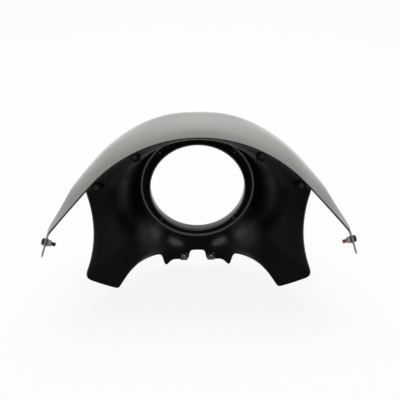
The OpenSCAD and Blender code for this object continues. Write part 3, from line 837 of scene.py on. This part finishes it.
def dome_screw(bm, matrix, radius, length, head_r, head_h, segments=40):
    """A screw along Z: a domed head with a hexagon socket stands on z = 0 over a shank of a length."""
    head = bmesh.ops.create_cone(bm, cap_ends=True, segments=segments, radius1=head_r, radius2=head_r,
                                 depth=head_h, matrix=matrix @ shift(0, 0, head_h / 2))["verts"]
    inverse = matrix.inverted()
    caps = {f for v in head for f in v.link_faces if len(f.verts) > 4}
    cap = max(caps, key=lambda f: (inverse @ f.calc_center_median()).z)
    axis = (matrix.to_3x3() @ Vector((0, 0, 1))).normalized()
    across = (matrix.to_3x3() @ Vector((1, 0, 0))).normalized()
    up = axis.cross(across)
    centre = matrix @ Vector((0, 0, head_h))

    def step_in():
        # a hairline inset, whose corners are then put in place
        bmesh.ops.inset_region(bm, faces=[cap], thickness=HAIR, depth=0.0, use_even_offset=True)
        return cap.verts

    def sink(verts, share):
        for v in verts:
            v.co -= axis * head_h * share

    sink(cap.verts, 1 - DOME_FOOT)
    for share, height in DOME_RINGS:
        for v in step_in():
            out = v.co - centre
            out -= axis * out.dot(axis)
            v.co = centre + out.normalized() * head_r * share - axis * head_h * (1 - height)
    for v in step_in():
        out = v.co - centre
        a = math.atan2(out.dot(up), out.dot(across))
        part = (a + math.pi / 6) % (math.pi / 3) - math.pi / 6
        flat = head_r * SOCKET_R / math.cos(part)
        v.co = centre + (across * math.cos(a) + up * math.sin(a)) * flat
    sink(step_in(), SOCKET_DEEP)
    add_rod(bm, matrix, radius, -length, -HAIR, THREAD_ROUND * MM, segments=segments)


class COWL_OT_screws(Operator):
    """Shape the screws of the lamp ring and of the brow"""
    bl_idname = "cowl.screws"
    bl_label = "Screws"

    def execute(self, context):
        bm = bmesh.new()
        middle = (COLLAR_R + RING_R - BEAD_W) / 2
        length = FLANGE_T + BODY_WALL + RING_SCREW_END
        for degrees in (45, 135, 225, 315):
            matrix = turn(degrees, "Y") @ shift(middle * MM, FLANGE_T * MM, 0) @ turn(-90, "X")
            dome_screw(bm, matrix, RING_SCREW_R * MM, length * MM, SCREW_HEAD_R * RING_SCREW_R * MM,
                       SCREW_HEAD_H * RING_SCREW_R * MM)
        piece("ring_screws_dome", bm, "black_screws", "black_oxide", node="ring_screws", smooth=30.0)
        bm = bmesh.new()
        for matrix in screw_frames():
            dome_screw(bm, matrix @ shift(0, 0, PAD_LEN * MM), BROW_SCREW_R * MM,
                       (PAD_LEN + BROW_SCREW_END) * MM, SCREW_HEAD_R * BROW_SCREW_R * MM,
                       SCREW_HEAD_H * BROW_SCREW_R * MM)
        piece("brow_screws_dome", bm, "black_screws", "black_oxide", node="brow_screws", smooth=30.0)
        return {"FINISHED"}


def drilled_plate(bm, matrix, outer, hole, low, high, corners, round_off):
    """A plate with a round hole along Z, from low to high: round where it has no corners."""
    plate = bmesh.new()
    square = [plate.verts.new((r, 0, z)) for r, z in ((hole, low), (outer, low), (outer, high), (hole, high))]
    sides = [plate.edges.new(pair) for pair in zip(square, square[1:] + square[:1])]
    bmesh.ops.spin(plate, geom=square + sides, cent=(0, 0, 0), axis=(0, 0, 1), angle=2 * math.pi, steps=48,
                   use_merge=True)
    bmesh.ops.recalc_face_normals(plate, faces=plate.faces)
    if corners:
        half = math.pi / corners
        for v in plate.verts:
            if v.co.xy.length > (outer + hole) / 2:
                part = (math.atan2(v.co.y, v.co.x) + 2 * math.pi) % (2 * half) - half
                v.co.xy *= math.cos(half) / math.cos(part)
    plate.normal_update()
    sharp = [e for e in plate.edges if e.calc_face_angle(0) > math.radians(50)]
    round_edges(plate, sharp, round_off, segments=2)
    bmesh.ops.transform(plate, matrix=matrix, verts=plate.verts)
    mesh = mesh_of(plate, "plate")
    bm.from_mesh(mesh)
    bpy.data.meshes.remove(mesh)


class COWL_OT_arm_fittings(Operator):
    """Shape the bolts, washers and nuts of the two arms"""
    bl_idname = "cowl.arm_fittings"
    bl_label = "Arm fittings"

    def execute(self, context):
        radius = context.scene.cowl_sizes.bolt_radius
        hole = radius + SCREW_GAP * MM
        washer_z = -(BROW_WALL + SEAT_RISE) * MM
        nut_z = washer_z - WASHER_T * MM
        bolts, washers, nuts = bmesh.new(), bmesh.new(), bmesh.new()
        for matrix in bolt_frames():
            dome_screw(bolts, matrix @ shift(0, 0, SEAT_RISE * MM), radius, BOLT_LEN * MM,
                       BOLT_HEAD_R * radius, BOLT_HEAD_H * radius)
            drilled_plate(washers, matrix, WASHER_R * MM, hole, nut_z, washer_z, 0, WASHER_ROUND * MM)
            drilled_plate(nuts, matrix, NUT_R * radius, hole, nut_z - NUT_H * MM, nut_z, 6, NUT_ROUND * MM)
        # the end of the bolt on the -X side is lacquered, from inside its nut on
        end = next(m for m in bolt_frames() if m.translation.x < 0).inverted()
        for f in bolts.faces:
            middle = end @ f.calc_center_median()
            f.material_index = int(middle.xy.length < 2 * radius and middle.z < nut_z - NUT_H / 2 * MM)
        piece("arm_bolts_dome", bolts, "black_screws", "black_oxide", "thread_lacquer", node="arm_bolts",
              smooth=30.0)
        piece("arm_washers_rounded", washers, "plated_screws", "zinc_plate", node="arm_washers", smooth=30.0)
        piece("arm_nuts_hexagon", nuts, "plated_screws", "zinc_plate", node="arm_nuts", smooth=30.0)
        return {"FINISHED"}


class COWL_OT_clips(Operator):
    """Finish the spring clips on the lips"""
    bl_idname = "cowl.clips"
    bl_label = "Lip clips"

    def execute(self, context):
        mesh = frame["nodes"]["lip_clips"].data
        mesh.materials.clear()
        mesh.materials.append(finish_named("spring_steel"))
        return {"FINISHED"}


def seen_by_eye(tree):
    """One for what is seen, directly, in a reflection or through glass, and nought for the light itself."""
    path = add(tree, "ShaderNodeLightPath").outputs
    direct = worked(tree, "MAXIMUM", path["Is Camera Ray"], path["Is Glossy Ray"])
    return worked(tree, "MAXIMUM", direct, path["Is Transmission Ray"])


class COWL_OT_stage(Operator):
    """Set the pale floor, the soft light and the camera"""
    bl_idname = "cowl.stage"
    bl_label = "Stage"

    def execute(self, context):
        self.lay_floor(context.scene)
        self.light_room(context.scene)
        self.set_camera(context.scene)
        return {"FINISHED"}

    def lay_floor(self, scene):
        bm = bmesh.new()
        bmesh.ops.create_grid(bm, x_segments=1, y_segments=1, size=FLOOR_HALF,
                              matrix=shift(0, 0, CAD_BOX[0][2]))
        floor, tree, shader, place = finish("pale_floor", {"Roughness": 0.9, "Specular IOR Level": 0.1})
        drift = speckle(tree, place, 3.0, 0.0, 1.0)
        dress(tree, shader, colour=tinted(tree, scene.cowl_colours.floor, drift, 0.985))
        glow = add(tree, "ShaderNodeEmission", {"Strength": 1.0})
        both = add(tree, "ShaderNodeMixShader", {
            "Fac": worked(tree, "MULTIPLY", seen_by_eye(tree), FLOOR_GLOW),
            1: shader.outputs["BSDF"], 2: glow.outputs["Emission"]})
        tree.links.new(both.outputs["Shader"], tree.nodes["Material Output"].inputs["Surface"])
        mesh = mesh_of(bm, "studio_floor")
        mesh.materials.append(floor)
        ground = bpy.data.objects.new("studio_floor", mesh)
        scene.collection.objects.link(ground)

    def light_room(self, scene):
        world = bpy.data.worlds.new("soft_studio")
        world.use_nodes = True
        scene.world = world
        tree = world.node_tree
        soft = tree.nodes["Background"]
        soft.inputs["Color"].default_value = (*scene.cowl_colours.room, 1)
        soft.inputs["Strength"].default_value = 1.0
        white = add(tree, "ShaderNodeBackground", {"Color": (1, 1, 1, 1), "Strength": 1.0})
        choice = add(tree, "ShaderNodeMixShader", {
            "Fac": seen_by_eye(tree), 1: soft.outputs["Background"], 2: white.outputs["Background"]})
        tree.links.new(choice.outputs["Shader"], tree.nodes["World Output"].inputs["Surface"])
        for name, place, size, power in SOFTBOXES:
            light = bpy.data.lights.new(name, "AREA")
            light.shape, light.size, light.size_y, light.energy = "RECTANGLE", size[0], size[1], power
            lamp = bpy.data.objects.new(name, light)
            lamp.location = place
            lamp.visible_glossy = False
            lamp.rotation_euler = (Vector(LIT_PLACE) - Vector(place)).to_track_quat("-Z", "Y").to_euler()
            scene.collection.objects.link(lamp)

    def set_camera(self, scene):
        camera = bpy.data.cameras.new("view_camera")
        camera.lens, camera.sensor_width = CAMERA_LENS, CAMERA_SENSOR
        viewer = bpy.data.objects.new("view_camera", camera)
        viewer.location = CAMERA_PLACE
        level = math.cos(CAMERA_ELEVATION)
        back = Vector((math.sin(CAMERA_AZIMUTH) * level, -math.cos(CAMERA_AZIMUTH) * level,
                       math.sin(CAMERA_ELEVATION)))
        viewer.rotation_euler = (-back).to_track_quat("-Z", "Y").to_euler()
        scene.collection.objects.link(viewer)
        scene.camera = viewer
        scene.view_settings.view_transform = "Standard"


class COWL_PT_panel(Panel):
    """Lists the cowl's sizes, colours and steps"""
    bl_label = "Headlight Cowl"
    bl_space_type = "VIEW_3D"
    bl_region_type = "UI"
    bl_category = "Cowl"

    def draw(self, context):
        column = self.layout.column()
        for group in (context.scene.cowl_sizes, context.scene.cowl_colours):
            for name in group.__annotations__:
                column.prop(group, name)
        for step in STEPS:
            column.operator(step.bl_idname)


STEPS = (COWL_OT_stage, COWL_OT_brow, COWL_OT_body, COWL_OT_lamp_ring, COWL_OT_screws,
         COWL_OT_arm_fittings, COWL_OT_clips)
CLASSES = (CowlSizes, CowlColours, *STEPS, COWL_PT_panel)


def register():
    for cls in CLASSES:
        bpy.utils.register_class(cls)
    bpy.types.Scene.cowl_sizes = PointerProperty(type=CowlSizes)
    bpy.types.Scene.cowl_colours = PointerProperty(type=CowlColours)


def unregister():
    del bpy.types.Scene.cowl_colours
    del bpy.types.Scene.cowl_sizes
    for cls in reversed(CLASSES):
        bpy.utils.unregister_class(cls)


def main():
    register()
    for step in (bpy.ops.cowl.stage, bpy.ops.cowl.brow, bpy.ops.cowl.body, bpy.ops.cowl.lamp_ring,
                 bpy.ops.cowl.screws, bpy.ops.cowl.arm_fittings, bpy.ops.cowl.clips):
        step()


if __name__ == "__main__":
    main()
